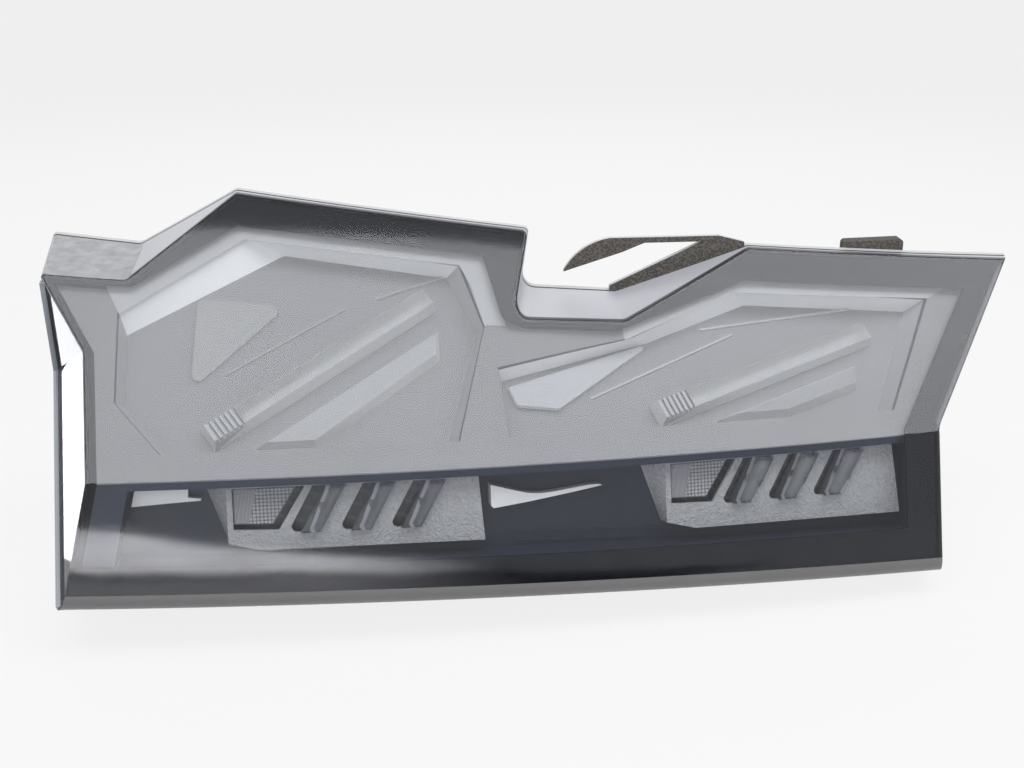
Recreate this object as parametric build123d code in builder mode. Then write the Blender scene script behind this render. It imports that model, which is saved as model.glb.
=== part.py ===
"""Rear lamp cluster for a car's body side, in millimetres, front towards -Y and up along +Z."""
import math
import os

from build123d import *

# Front surface: two facets that meet at a crease and wrap round a vertical axis
WRAP_RADIUS = 2200.0
WRAP_X = -214.0
CREASE_Y = -149.0
CREASE_Z = -23.6
UPPER_TILT = 45.0
LOWER_TILT = 13.0

# Outline of the skirt at its rear end, drafted towards the front
OUTLINE_Y = -18.0
DRAFT = 7.0
OUTLINE = (
    (-221.0, 59.0),
    (-175.0, 56.0),
    (-125.0, 85.0),
    (22.5, 66.5),
    (18.5, 37.0),
    (62.5, 34.0),
    (129.5, 55.5),
    (271.5, 41.5),
    (225.0, -26.0),
    (231.5, -106.5),
    (-216.0, -99.0),
)
NOTCH_CORNERS = (1, 4, 5, 8)
ROUND_CORNERS = (0, 2, 3, 6)
NOTCH_RADIUS = 7.0
CORNER_RADIUS = 3.0
LIP_RADIUS = 8.0
RIM_RADIUS = 1.2
BEAD_RADIUS = 4.5

# Facets that cut the left end, each a point on it and its outward direction
SIDE_FACETS = (
    ((-183.0, -149.0, -23.6), (-0.856, -0.425, 0.296)),
    ((-214.5, -73.0, 52.5), (-0.797, -0.601, -0.05)),
)

# Walls of the lens moulding and the window in its black border
LENS_WALL = 2.2
BORDER_WALL = 1.6
WINDOW = (
    (-208.0, 47.8),
    (-171.0, 45.3),
    (-123.0, 68.6),
    (-4.5, 53.6),
    (4.5, 27.0),
    (60.0, 22.2),
    (125.5, 38.6),
    (242.5, 29.0),
    (197.0, -23.6),
    (199.5, -70.0),
    (-191.0, -62.0),
    (-182.8, -23.6),
    (-190.2, 22.0),
)
WINDOW_ROUNDS = (1, 4, 5)
WINDOW_RADIUS = 7.0

# Parting surface between the lens and the housing, curved in plan
PARTING_RADIUS = 1400.0
PARTING_X = 30.0
PARTING_Y = -44.0
SEAL = 1.5

# Housing
FLANGE = 3.0
RIM_GAP = 0.3
RIM_WALL = 2.0
RIM_HEIGHT = 6.0
TUB_FRONT = -50.0
TUB_BACK = -6.0
TUB_INSET = 8.0
TUB_TAPER = 14.0
TUB_WALL = 2.5
RIB_WIDTH = 2.0
RIB_HEIGHT = 3.0
RIB_PITCH = 14.0
RIB_LENGTH = 70.0
RIB_COUNT = 3
RIB_ENDS = (-165.0, 185.0)
RIB_Z = -25.0
ARCH_TIP = (36.5, 41.5)
ARCH_BEND = (46.0, 52.5)
ARCH_TOP = ((60.0, 58.0), (115.0, 58.0))
ARCH_END = (128.0, 54.5)
ARCH_OPENING = ((60.0, 33.5), (107.0, 55.5), (77.0, 55.5), (66.0, 51.0))

# Foam pieces on the flange
FOAM_THICKNESS = 1.5
PAD_X = 198.0
PAD_LENGTH = 32.0
PAD_BOTTOM = 40.0
PAD_TOP = 51.5
PAD_DEPTH = 8.0
PAD_RADIUS = 2.0

# Black mask behind the lens
BEZEL_GAP = 0.4
BEZEL_WALL = 2.0

# Light modules, left and right, each on planes that touch the wrapped facets at its middle
MODULE_X = (-70.0, 134.0)
MODULE_NAMES = ("left", "right")

# Upper trays, in the plane of the upper facet: mouth and floor outlines
TRAY_MOUTH_INSET = 4.0
TRAY_FLOOR_INSET = 20.0
TRAY_WALL = 1.6
TRAY_MOUTHS = (
    ((-106, 42), (-106, 96), (-52, 133), (63, 112), (72, 75), (56, 14), (-84, 14)),
    ((-130, 16), (-130, 58), (-66, 66), (-6, 91), (106, 79), (66, 14)),
)
TRAY_FLOORS = (
    ((-102, 46), (-102, 85), (-26, 127), (55, 111), (68, 77), (50, 18), (-80, 18)),
    ((-126, 20), (-126, 54), (-50, 69), (6, 87), (94, 77), (62, 18)),
)
TRAY_PADS = (
    ((-67.0, 101.0), (-26.0, 95.5), (-70.0, 54.0)),
    ((-122.0, 48.0), (-119.0, 38.5), (-99.0, 35.0), (-47.0, 66.5)),
)
TRAY_PAD_HEIGHT = 3.0
TRAY_PAD_RADII = (3.0, 1.0)
TRAY_RIBS = (
    (((-54.0, 61.0), (3.0, 94.0)), ((19.0, 99.0), (52.0, 110.0))),
    (((-82.0, 40.0), (-4.0, 69.0)), ((-20.0, 73.0), (62.0, 79.0))),
)
TRAY_RIB_WIDTH = 0.9
TRAY_RIB_HEIGHT = 1.2

# Diagonal light bars on the tray floors, with a ribbed lower end
BAR_STARTS = ((-62.0, 27.0), (-52.0, 28.0))
BAR_ENDS = ((45.0, 97.0), (66.0, 64.0))
BAR_WIDTH = 13.0
BAR_HEIGHT = 8.0
BAR_TAPER = 12.0
BAR_RIBS = 6
BAR_RIB_START = 4.0
BAR_RIB_PITCH = 2.6
BAR_RIB_GAP = 1.2
BAR_RIB_DEPTH = 2.4

# Grained wedges beside the bars
WEDGES = (
    ((-42.0, 21.0), (-12.0, 21.0), (48.0, 64.0), (48.0, 80.0)),
    ((-26.0, 22.0), (14.0, 22.0), (54.0, 34.0), (56.0, 47.0)),
)
WEDGE_HEIGHT = 6.0
WEDGE_TAPER = 20.0

# Boards and diodes
BOARD = 1.6
LED_SIZE = 3.5
LED_HEIGHT = 1.2
BAR_LEDS = 5
LED_SLOT = 5.0
BAR_BOARD_WIDTH = 16.0

# Lower tray behind the lower facet
LOWER_TRAY_FLOOR = 22.0
LOWER_TRAY_WALL = 1.6
LOWER_TRAY = ((-168.0, -28.6), (200.0, -28.6), (203.0, -77.0), (-176.0, -67.0))
TRAY_STEPS = (((-2.0, -63.0), (78.0, -66.0)), ((6.0, -67.6), (78.0, -70.4)))
TRAY_STEP_WIDTH = 0.9
TRAY_STEP_HEIGHT = 0.8

# Fascias with slanted slots and a trapezoid window, in the plane of the lower facet
FASCIA_INSET = 14.0
FASCIA_WALL = 1.8
FASCIA_FRONTS = (
    ((-53.5, -4.5), (-53.5, -32.5), (-38.5, -36.0), (64.0, -36.5), (61.5, -4.5)),
    ((-53.5, -4.5), (-53.5, -35.0), (-39.0, -39.0), (66.0, -40.5), (62.0, -4.5)),
)
FASCIA_FEET = (
    ((-65.0, -4.5), (-54.0, -33.0), (-38.5, -36.5), (64.5, -37.0), (62.0, -4.5)),
    ((-65.0, -4.5), (-54.0, -35.5), (-39.0, -39.5), (66.5, -41.0), (62.5, -4.5)),
)
SLOT_COUNT = 3
SLOT_START = -26.5
SLOT_PITCH = 23.0
SLOT_WIDTH = 15.0
SLOT_LEAN = 12.0
SLOT_BOTTOM = -28.5
SLOT_TOP = -7.0
SLOT_RADIUS = 2.5
FIT = 0.25
CLAW_WIDTH = 9.0
CLAW_REACH = 4.5
CLAW_BEVEL = 1.2
PRISM_WINDOW = ((-51.0, -7.0), (-18.1, -7.0), (-30.5, -27.0), (-51.0, -26.2))
PRISM = ((-51.0, -7.0), (-21.6, -7.0), (-33.0, -24.8), (-51.0, -24.0))
PRISM_SINK = 0.8
CLAW_BOARD_LENGTH = 100.0
CLAW_BOARD_WIDTH = 24.0
CLAW_BOARD_CENTRE = (4.0, -19.0)

# Bright fins on the lower tray: points along the top edge, then the corners from the tip back to the root
FIN_INSET = 19.0
FIN_TOPS = (
    ((-93.9, -3.0), (-82.0, -3.3), (-70.8, -5.3)),
    ((-136.8, -10.5), (-126.3, -13.8), (-117.7, -16.0), (-101.1, -15.6), (-84.7, -14.5)),
)
FIN_CORNERS = (
    ((-71.1, -11.0), (-65.4, -11.7), (-65.4, -12.6), (-81.5, -13.3), (-96.5, -14.1)),
    ((-83.3, -15.2), (-96.5, -17.1), (-119.7, -20.0), (-135.8, -21.6), (-136.9, -20.5)),
)

# Rear fittings
STUD_SPACING = 250.0
STUD_RADIUS = 3.0
STUD_LENGTH = 25.0
STUD_SHANK = 4.0
STUD_GRIP = 14.0
STUD_COLLAR = 5.5
STUD_COLLAR_HEIGHT = 4.0
BOSS_RADIUS = 9.0
BOSS_DEPTH = 18.0
BORE_GAP = 0.1
PIN_X = 0.0
PIN_Z = -68.0
PIN_RADIUS = 4.0
PIN_LENGTH = 14.0
PIN_TIP = 1.5
VENT_X = -60.0
VENT_Z = -40.0
VENT_RADIUS = 9.0
VENT_HEIGHT = 5.0
VENT_BORE = 3.0
VENT_STEM = 5.0
VENT_LID = 1.2
SOCKET_X = 45.0
SOCKET_Z = -32.0
SOCKET_LENGTH = 42.0
SOCKET_HEIGHT = 20.0
SOCKET_WALL = 2.0
SOCKET_REACH = 4.0
SOCKET_LIP = 3.0
SOCKET_LIP_THICKNESS = 2.0
TERMINALS = 6
TERMINAL_PITCH = 5.0
TERMINAL_WIDTH = 2.0
TERMINAL_THICKNESS = 0.8
TERMINAL_REACH = 9.0
GASKET_LENGTH = 84.0
GASKET_HEIGHT = 58.0
GASKET_BAND = 8.0
GASKET_RADIUS = 12.0
DRIVER_LENGTH = 110.0
DRIVER_WIDTH = 44.0
POST_HEIGHT = 8.0
POST_RADIUS = 4.0
POST_MARGIN = 6.0
SCREW_RADIUS = 1.5
SCREW_HEAD = 3.0
SCREW_HEAD_HEIGHT = 2.0
SCREW_LENGTH = 8.0

# Length that reaches past the lamp in any direction, and the swing of the wrapped section
REACH = 150.0
WRAP_START = -2.0
WRAP_ARC = 17.0

# Planes seen from the front and from behind
FRONT = Plane.XZ
REAR = Plane((0, 0, 0), x_dir=(-1, 0, 0), z_dir=(0, 1, 0))


def front_body(inset):
    """Solid behind both front facets, which move back by inset."""
    start = math.radians(WRAP_START)
    outward = Vector(math.sin(start), -math.cos(start), 0)
    axis_point = Vector(WRAP_X, CREASE_Y + WRAP_RADIUS, 0)
    section_plane = Plane(axis_point, x_dir=outward, z_dir=outward.cross(Vector(0, 0, 1)))
    upper_run = REACH * math.tan(math.radians(UPPER_TILT))
    lower_run = REACH * math.tan(math.radians(LOWER_TILT))
    with BuildPart() as body:
        with BuildSketch(section_plane):
            with BuildLine():
                Polyline(
                    (WRAP_RADIUS, CREASE_Z),
                    (WRAP_RADIUS - upper_run, CREASE_Z + REACH),
                    (WRAP_RADIUS - 2 * REACH, CREASE_Z + REACH),
                    (WRAP_RADIUS - 2 * REACH, CREASE_Z - REACH),
                    (WRAP_RADIUS + lower_run, CREASE_Z - REACH),
                    close=True,
                )
            make_face()
            if inset:
                offset(amount=-inset, kind=Kind.INTERSECTION)
        revolve(axis=Axis(axis_point, (0, 0, 1)), revolution_arc=WRAP_ARC)
    return body.part


def side_wedge(inset):
    """What the left end loses in front of its two facets."""
    with BuildPart() as wedge:
        with Locations(SIDE_FACETS[0][0]):
            Box(2 * REACH, 2 * REACH, 2 * REACH)
        for point, direction in SIDE_FACETS:
            split(bisect_by=Plane(point, z_dir=direction).offset(-inset), keep=Keep.TOP)
    return wedge.part


def nearest_wall(form, corner):
    """The wall edge of a form that belongs to a corner of the outline."""
    walls = form.edges().filter_by(lambda edge: abs(edge.tangent_at(0.5).Y) > 0.9)
    return min(walls, key=lambda edge: math.hypot(edge.center().X - corner[0], edge.center().Z - corner[1]))


def nearest_corner(sketch, corner):
    """The vertex of a sketch, in its own plane, that belongs to a corner of its outline."""
    return min(sketch.vertices(), key=lambda vertex: math.hypot(vertex.X - corner[0], vertex.Y - corner[1]))


def outline_block(inset):
    """Drafted block within the outline, with its walls moved in by inset."""
    with BuildPart() as block:
        with BuildSketch(FRONT.offset(-OUTLINE_Y)):
            with BuildLine():
                Polyline(*OUTLINE, close=True)
            make_face()
            if inset:
                offset(amount=-inset, kind=Kind.INTERSECTION)
        extrude(amount=REACH, taper=DRAFT)
    return block.part


def edge_bead(form):
    """Round bead along the front edge of a form's left wall, kept within the outline."""
    wall = form.faces().filter_by(lambda face: face.normal_at().X < -0.9).sort_by(SortBy.AREA)[-1]
    front_edges = wall.edges().filter_by(
        lambda edge: abs(edge.tangent_at(0.5).Z) > 0.5 and edge.center().Y < wall.center().Y
    )
    ends = sorted((edge @ end for edge in front_edges for end in (0, 1)), key=lambda point: point.Z)
    with BuildPart() as bead:
        with BuildLine() as path:
            Polyline(*ends[0::2], ends[-1])
        with BuildSketch(Plane(path.line @ 0, z_dir=path.line % 0)):
            Circle(BEAD_RADIUS)
        sweep(transition=Transition.RIGHT)
        add(outline_block(0), mode=Mode.INTERSECT)
    return bead.part


def lamp_form(inset):
    """Solid within the drafted outline and behind the facets, with every face moved in by inset."""
    front = front_body(inset)
    wedge = side_wedge(inset)
    block = outline_block(inset)
    with BuildPart() as form:
        add(block)
        add(front, mode=Mode.INTERSECT)
        add(wedge, mode=Mode.SUBTRACT)
        fillet([nearest_wall(form, OUTLINE[i]) for i in NOTCH_CORNERS], NOTCH_RADIUS + inset)
        if not inset:
            fillet([nearest_wall(form, OUTLINE[i]) for i in ROUND_CORNERS], CORNER_RADIUS)
        lower_facet = form.faces().sort_by(Axis.Y)[0]
        lip = lower_facet.edges().sort_by(Axis.Z)[0]
        fillet(lip, max(LIP_RADIUS - inset, RIM_RADIUS))
        if not inset:
            facing_front = form.faces().filter_by(lambda face: face.normal_at().Y < -0.5)
            upper_facet = facing_front.sort_by(SortBy.AREA)[-1]
            rim = upper_facet.edges().filter_by(
                lambda edge: edge.length > 2 * RIM_RADIUS and edge.center().Z > CREASE_Z + RIM_RADIUS
            )
            fillet(rim, RIM_RADIUS)
    return form.part


def parting_core(step):
    """Everything behind the parting surface, which moves forward by step."""
    with BuildPart() as core:
        with Locations((PARTING_X, PARTING_Y + PARTING_RADIUS, 0)):
            Cylinder(PARTING_RADIUS + step, 4 * REACH)
    return core.part


def facet_plane(middle_x, tilt, inset):
    """Plane that touches a facet at the crease below middle_x, moved in by inset."""
    swing = math.asin((middle_x - WRAP_X) / WRAP_RADIUS)
    lean = math.radians(tilt)
    crease = Vector(middle_x, CREASE_Y + WRAP_RADIUS * (1 - math.cos(swing)), CREASE_Z)
    along = Vector(math.cos(swing), math.sin(swing), 0)
    normal = Vector(math.cos(lean) * math.sin(swing), -math.cos(lean) * math.cos(swing), math.sin(lean))
    return Plane(crease - normal * inset, x_dir=along, z_dir=normal)


def save(builder, name):
    """Label a finished piece and write it to its own file."""
    builder.part.label = name
    export_step(builder.part, f"parts/{name}.step")


os.makedirs("parts", exist_ok=True)

# Nested forms that the mouldings share
border_inset = LENS_WALL
cavity_inset = LENS_WALL + BORDER_WALL
rim_inset = cavity_inset + RIM_GAP
bezel_inset = rim_inset + RIM_WALL + BEZEL_GAP
plain_form = lamp_form(0)
bead = edge_bead(plain_form)
border_form = lamp_form(border_inset)
cavity_form = lamp_form(cavity_inset)
rim_form = lamp_form(rim_inset)
rim_core_form = lamp_form(rim_inset + RIM_WALL)
bezel_form = lamp_form(bezel_inset)
bezel_back_form = lamp_form(bezel_inset + BEZEL_WALL)
lower_floor_form = front_body(LOWER_TRAY_FLOOR)
lower_back_form = front_body(LOWER_TRAY_FLOOR + LOWER_TRAY_WALL)
lower_step_form = front_body(LOWER_TRAY_FLOOR - TRAY_STEP_HEIGHT)
parting = parting_core(0)
seal_front = parting_core(SEAL)
flange_back = parting_core(-FLANGE)
rim_front = parting_core(RIM_HEIGHT)
foam_front = parting_core(FOAM_THICKNESS)

# Outside of the lamp, with a bead along its left edge
with BuildPart() as beaded_form:
    add(plain_form)
    add(bead)
outer_form = beaded_form.part

# Clear lens with its skirt
with BuildPart() as outer_lens:
    add(outer_form)
    add(border_form, mode=Mode.SUBTRACT)
    add(seal_front, mode=Mode.SUBTRACT)
save(outer_lens, "outer_lens")

# Black border moulded behind the lens, open at the window
with BuildPart() as lens_frame:
    add(border_form)
    add(cavity_form, mode=Mode.SUBTRACT)
    add(seal_front, mode=Mode.SUBTRACT)
    with BuildSketch(FRONT) as window:
        with BuildLine():
            Polyline(*WINDOW, close=True)
        make_face()
        fillet([nearest_corner(window, WINDOW[i]) for i in WINDOW_ROUNDS], WINDOW_RADIUS)
    extrude(amount=2 * REACH, mode=Mode.SUBTRACT)
save(lens_frame, "lens_frame")

# Sealing bead between the skirt and the housing flange
with BuildPart() as lens_seal:
    add(outer_form)
    add(cavity_form, mode=Mode.SUBTRACT)
    add(seal_front, mode=Mode.INTERSECT)
    add(parting, mode=Mode.SUBTRACT)
save(lens_seal, "lens_seal")


def tub_form(inset, back):
    """Tapered tub within the outline, with its walls moved in by inset and its back at back."""
    with BuildPart() as tub:
        with BuildSketch(REAR.offset(TUB_FRONT)):
            with BuildLine():
                Polyline(*[(-x, z) for x, z in OUTLINE], close=True)
            make_face()
            offset(amount=-TUB_INSET - inset, kind=Kind.INTERSECTION)
        extrude(amount=back - TUB_FRONT, taper=TUB_TAPER)
    return tub.part


tub_outside = tub_form(0, TUB_BACK)
tub_inside = tub_form(TUB_WALL, TUB_BACK - TUB_WALL)
inner_wall_y = TUB_BACK - TUB_WALL
board_y = inner_wall_y - POST_HEIGHT
collar_y = -STUD_COLLAR_HEIGHT
stud_points = [(-STUD_SPACING / 2, 0), (STUD_SPACING / 2, 0)]
post_x = DRIVER_LENGTH / 2 - POST_MARGIN
post_z = DRIVER_WIDTH / 2 - POST_MARGIN
post_points = [(SOCKET_X + x, SOCKET_Z + z) for x in (-post_x, post_x) for z in (-post_z, post_z)]
rib_shifts = [RIB_PITCH * (i - (RIB_COUNT - 1) / 2) for i in range(RIB_COUNT)]
rib_points = [(shift - x, RIB_Z) for x in RIB_ENDS for shift in rib_shifts]

# Open arch behind the notch, free at its left tip
arch_foot = OUTLINE[5][1] - FLANGE
with BuildPart() as arch:
    with BuildSketch(FRONT):
        with BuildLine():
            ThreePointArc(ARCH_TIP, ARCH_BEND, ARCH_TOP[0])
            Polyline(*ARCH_TOP, ARCH_END, (ARCH_END[0], arch_foot), (ARCH_OPENING[0][0], arch_foot))
            Polyline((ARCH_OPENING[0][0], arch_foot), *ARCH_OPENING, ARCH_TIP)
        make_face()
    extrude(amount=REACH)

# Flange of the housing on the parting surface, with the arch behind the notch
with BuildPart() as flange:
    add(outer_form)
    add(arch.part)
    add(parting, mode=Mode.INTERSECT)
    add(flange_back, mode=Mode.SUBTRACT)

# Rim that locates the lens skirt
with BuildPart() as rim:
    add(rim_form)
    add(rim_core_form, mode=Mode.SUBTRACT)
    add(rim_front, mode=Mode.INTERSECT)
    add(parting, mode=Mode.SUBTRACT)

# Housing: flange, rim, tub, stud bosses, locating pin, vent stem, board posts and ribs
with BuildPart() as rear_housing:
    add(tub_outside)
    add(parting, mode=Mode.INTERSECT)
    add(flange.part)
    add(rim.part)
    add(tub_inside, mode=Mode.SUBTRACT)
    with BuildSketch(REAR.offset(TUB_BACK - BOSS_DEPTH)):
        with Locations(*stud_points):
            Circle(BOSS_RADIUS)
    extrude(amount=collar_y - TUB_BACK + BOSS_DEPTH)
    with BuildSketch(REAR.offset(inner_wall_y)):
        with Locations(*rib_points):
            Rectangle(RIB_WIDTH, RIB_LENGTH)
    extrude(amount=TUB_WALL + RIB_HEIGHT)
    with BuildSketch(REAR.offset(inner_wall_y)):
        with Locations((-VENT_X, VENT_Z)):
            Circle(VENT_STEM)
    extrude(amount=TUB_WALL + VENT_HEIGHT - VENT_LID)
    with BuildSketch(REAR.offset(inner_wall_y)):
        with Locations((-PIN_X, PIN_Z)):
            Circle(PIN_RADIUS)
    extrude(amount=PIN_LENGTH - inner_wall_y)
    chamfer(rear_housing.edges().sort_by(Axis.Y)[-1], PIN_TIP)
    with BuildSketch(FRONT.offset(-inner_wall_y)):
        with Locations(*post_points):
            Circle(POST_RADIUS)
    extrude(amount=POST_HEIGHT)
    with BuildSketch(REAR.offset(collar_y)):
        with Locations(*stud_points):
            Circle(STUD_SHANK + BORE_GAP)
    extrude(amount=-STUD_GRIP - BORE_GAP, mode=Mode.SUBTRACT)
    with BuildSketch(REAR):
        with Locations((-VENT_X, VENT_Z)):
            Circle(VENT_BORE)
        with Locations((-SOCKET_X, SOCKET_Z)):
            Rectangle(SOCKET_LENGTH + 2 * BORE_GAP, SOCKET_HEIGHT + 2 * BORE_GAP)
    extrude(amount=inner_wall_y, mode=Mode.SUBTRACT)
    with BuildSketch(FRONT.offset(-board_y)):
        with Locations(*post_points):
            Circle(SCREW_RADIUS + BORE_GAP)
    extrude(amount=BOARD - SCREW_LENGTH, mode=Mode.SUBTRACT)
save(rear_housing, "rear_housing")

# Foam on the arch behind the notch
with BuildPart() as notch_foam:
    add(arch.part)
    add(foam_front, mode=Mode.INTERSECT)
    add(parting, mode=Mode.SUBTRACT)
    add(outer_form, mode=Mode.SUBTRACT)
save(notch_foam, "notch_foam")

# Foam pad behind the top edge on the right
pad_back = parting_core(-FLANGE - PAD_DEPTH)
with BuildPart() as edge_foam:
    with BuildSketch(FRONT):
        with Locations((PAD_X, (PAD_BOTTOM + PAD_TOP) / 2)):
            RectangleRounded(PAD_LENGTH, PAD_TOP - PAD_BOTTOM, PAD_RADIUS)
    extrude(amount=REACH)
    add(flange_back, mode=Mode.INTERSECT)
    add(pad_back, mode=Mode.SUBTRACT)
save(edge_foam, "edge_foam")


def tray_form(side, inset):
    """Solid from the mouth of an upper tray to its floor, drawn in by inset."""
    mouth_plane = facet_plane(MODULE_X[side], UPPER_TILT, TRAY_MOUTH_INSET)
    floor_plane = facet_plane(MODULE_X[side], UPPER_TILT, TRAY_FLOOR_INSET + TRAY_WALL - inset)
    with BuildPart() as tray:
        for plane, corners in ((mouth_plane, TRAY_MOUTHS[side]), (floor_plane, TRAY_FLOORS[side])):
            with BuildSketch(plane):
                with BuildLine():
                    Polyline(*corners, close=True)
                make_face()
                if inset:
                    offset(amount=-inset, kind=Kind.INTERSECTION)
        loft(ruled=True)
    return tray.part


def along_line(start, end, distance):
    """Place on a line between two points, turned along it, at a distance from its start."""
    run = Vector(*end) - Vector(*start)
    point = Vector(*start) + run.normalized() * distance
    return Location((point.X, point.Y, 0), (0, 0, math.degrees(math.atan2(run.Y, run.X))))


def along_bar(side, distance):
    """Place on a bar's line, turned along it, at a distance from its start."""
    return along_line(BAR_STARTS[side], BAR_ENDS[side], distance)


tray_blocks = [tray_form(side, 0) for side in (0, 1)]
tray_cavities = [tray_form(side, TRAY_WALL) for side in (0, 1)]
bar_lengths = [(Vector(*BAR_ENDS[side]) - Vector(*BAR_STARTS[side])).length for side in (0, 1)]
led_spots = [
    [along_bar(side, bar_lengths[side] * (i + 0.5) / BAR_LEDS) for i in range(BAR_LEDS)] for side in (0, 1)
]

# Upper trays with a slot under the bar, a raised pad and thin ribs, then bars, wedges and boards
for side, name in enumerate(MODULE_NAMES):
    middle = along_bar(side, bar_lengths[side] / 2)
    floor_plane = facet_plane(MODULE_X[side], UPPER_TILT, TRAY_FLOOR_INSET)
    with BuildPart() as upper_tray:
        add(tray_blocks[side])
        add(tray_cavities[side], mode=Mode.SUBTRACT)
        with BuildSketch(floor_plane) as pad:
            with BuildLine():
                Polyline(*TRAY_PADS[side], close=True)
            make_face()
            fillet(pad.vertices(), TRAY_PAD_RADII[side])
        extrude(amount=TRAY_PAD_HEIGHT)
        for start, end in TRAY_RIBS[side]:
            rib_length = (Vector(*end) - Vector(*start)).length
            with BuildSketch(floor_plane):
                with Locations(along_line(start, end, rib_length / 2)):
                    Rectangle(rib_length, TRAY_RIB_WIDTH)
            extrude(amount=TRAY_RIB_HEIGHT)
        with BuildSketch(floor_plane):
            with Locations(middle):
                Rectangle(bar_lengths[side], LED_SLOT)
        extrude(amount=-TRAY_WALL, mode=Mode.SUBTRACT)
        add(bezel_back_form, mode=Mode.INTERSECT)
    save(upper_tray, f"upper_tray_{name}")

    with BuildPart() as light_bar:
        with BuildSketch(floor_plane):
            with Locations(middle):
                Rectangle(bar_lengths[side], BAR_WIDTH)
        extrude(amount=BAR_HEIGHT, taper=BAR_TAPER)
        with BuildSketch(floor_plane.offset(BAR_HEIGHT)):
            with Locations(*[along_bar(side, BAR_RIB_START + BAR_RIB_PITCH * i) for i in range(BAR_RIBS)]):
                Rectangle(BAR_RIB_GAP, BAR_WIDTH)
        extrude(amount=-BAR_RIB_DEPTH, mode=Mode.SUBTRACT)
    save(light_bar, f"light_bar_{name}")

    with BuildPart() as wedge:
        with BuildSketch(floor_plane):
            with BuildLine():
                Polyline(*WEDGES[side], close=True)
            make_face()
        extrude(amount=WEDGE_HEIGHT, taper=WEDGE_TAPER)
    save(wedge, f"wedge_{name}")

    with BuildPart() as bar_board:
        with BuildSketch(floor_plane.offset(-TRAY_WALL)):
            with Locations(middle):
                Rectangle(bar_lengths[side], BAR_BOARD_WIDTH)
        extrude(amount=-BOARD)
    save(bar_board, f"bar_board_{name}")

# Diodes under the bars
with BuildPart() as bar_leds:
    for side in (0, 1):
        with BuildSketch(facet_plane(MODULE_X[side], UPPER_TILT, TRAY_FLOOR_INSET + TRAY_WALL)):
            with Locations(*led_spots[side]):
                Rectangle(LED_SIZE, LED_SIZE)
        extrude(amount=LED_HEIGHT)
save(bar_leds, "bar_leds")

# Space in front of the lower tray's floor
with BuildPart() as lower_space:
    with BuildSketch(FRONT):
        with BuildLine():
            Polyline(*LOWER_TRAY, close=True)
        make_face()
        offset(amount=-LOWER_TRAY_WALL, kind=Kind.INTERSECTION)
    extrude(amount=2 * REACH)
    add(lower_floor_form, mode=Mode.SUBTRACT)

# Thin steps along the floor of the lower tray
with BuildPart() as tray_steps:
    for start, end in TRAY_STEPS:
        step_length = (Vector(*end) - Vector(*start)).length
        with BuildSketch(FRONT):
            with Locations(along_line(start, end, step_length / 2)):
                Rectangle(step_length, TRAY_STEP_WIDTH)
        extrude(amount=2 * REACH)
    add(lower_step_form, mode=Mode.INTERSECT)
    add(lower_back_form, mode=Mode.SUBTRACT)

# Black tray behind the lower facet
with BuildPart() as lower_tray:
    with BuildSketch(FRONT):
        with BuildLine():
            Polyline(*LOWER_TRAY, close=True)
        make_face()
    extrude(amount=2 * REACH)
    add(bezel_back_form, mode=Mode.INTERSECT)
    add(lower_back_form, mode=Mode.SUBTRACT)
    add(lower_space.part, mode=Mode.SUBTRACT)
    add(tray_steps.part)
save(lower_tray, "lower_tray")

# Black mask behind the lens, open in front of the trays
with BuildPart() as inner_bezel:
    add(bezel_form)
    add(bezel_back_form, mode=Mode.SUBTRACT)
    add(parting, mode=Mode.SUBTRACT)
    for cavity in tray_cavities:
        add(cavity, mode=Mode.SUBTRACT)
    add(lower_space.part, mode=Mode.SUBTRACT)
save(inner_bezel, "inner_bezel")


def slot_corners(start, width, margin):
    """Corners of a slanted slot of a fascia, drawn in by margin at its ends."""
    rise = (SLOT_TOP - SLOT_BOTTOM - 2 * margin) / (SLOT_TOP - SLOT_BOTTOM)
    low = start + SLOT_LEAN * (1 - rise) / 2
    high = low + SLOT_LEAN * rise
    bottom = SLOT_BOTTOM + margin
    top = SLOT_TOP - margin
    return (low, bottom), (low + width, bottom), (high + width, top), (high, top)


slot_starts = [SLOT_START + SLOT_PITCH * i for i in range(SLOT_COUNT)]
claw_starts = [start + SLOT_WIDTH - FIT - CLAW_WIDTH for start in slot_starts]
claw_back = LOWER_TRAY_FLOOR - BOARD - LED_HEIGHT
prism_centre = sum((Vector(*corner) for corner in PRISM), Vector()) * (1 / len(PRISM))
claw_middle = (SLOT_BOTTOM + SLOT_TOP) / 2
claw_led_points = [(start + (CLAW_WIDTH + SLOT_LEAN) / 2, claw_middle) for start in claw_starts]
claw_led_points.append((prism_centre.X, prism_centre.Y))

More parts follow.
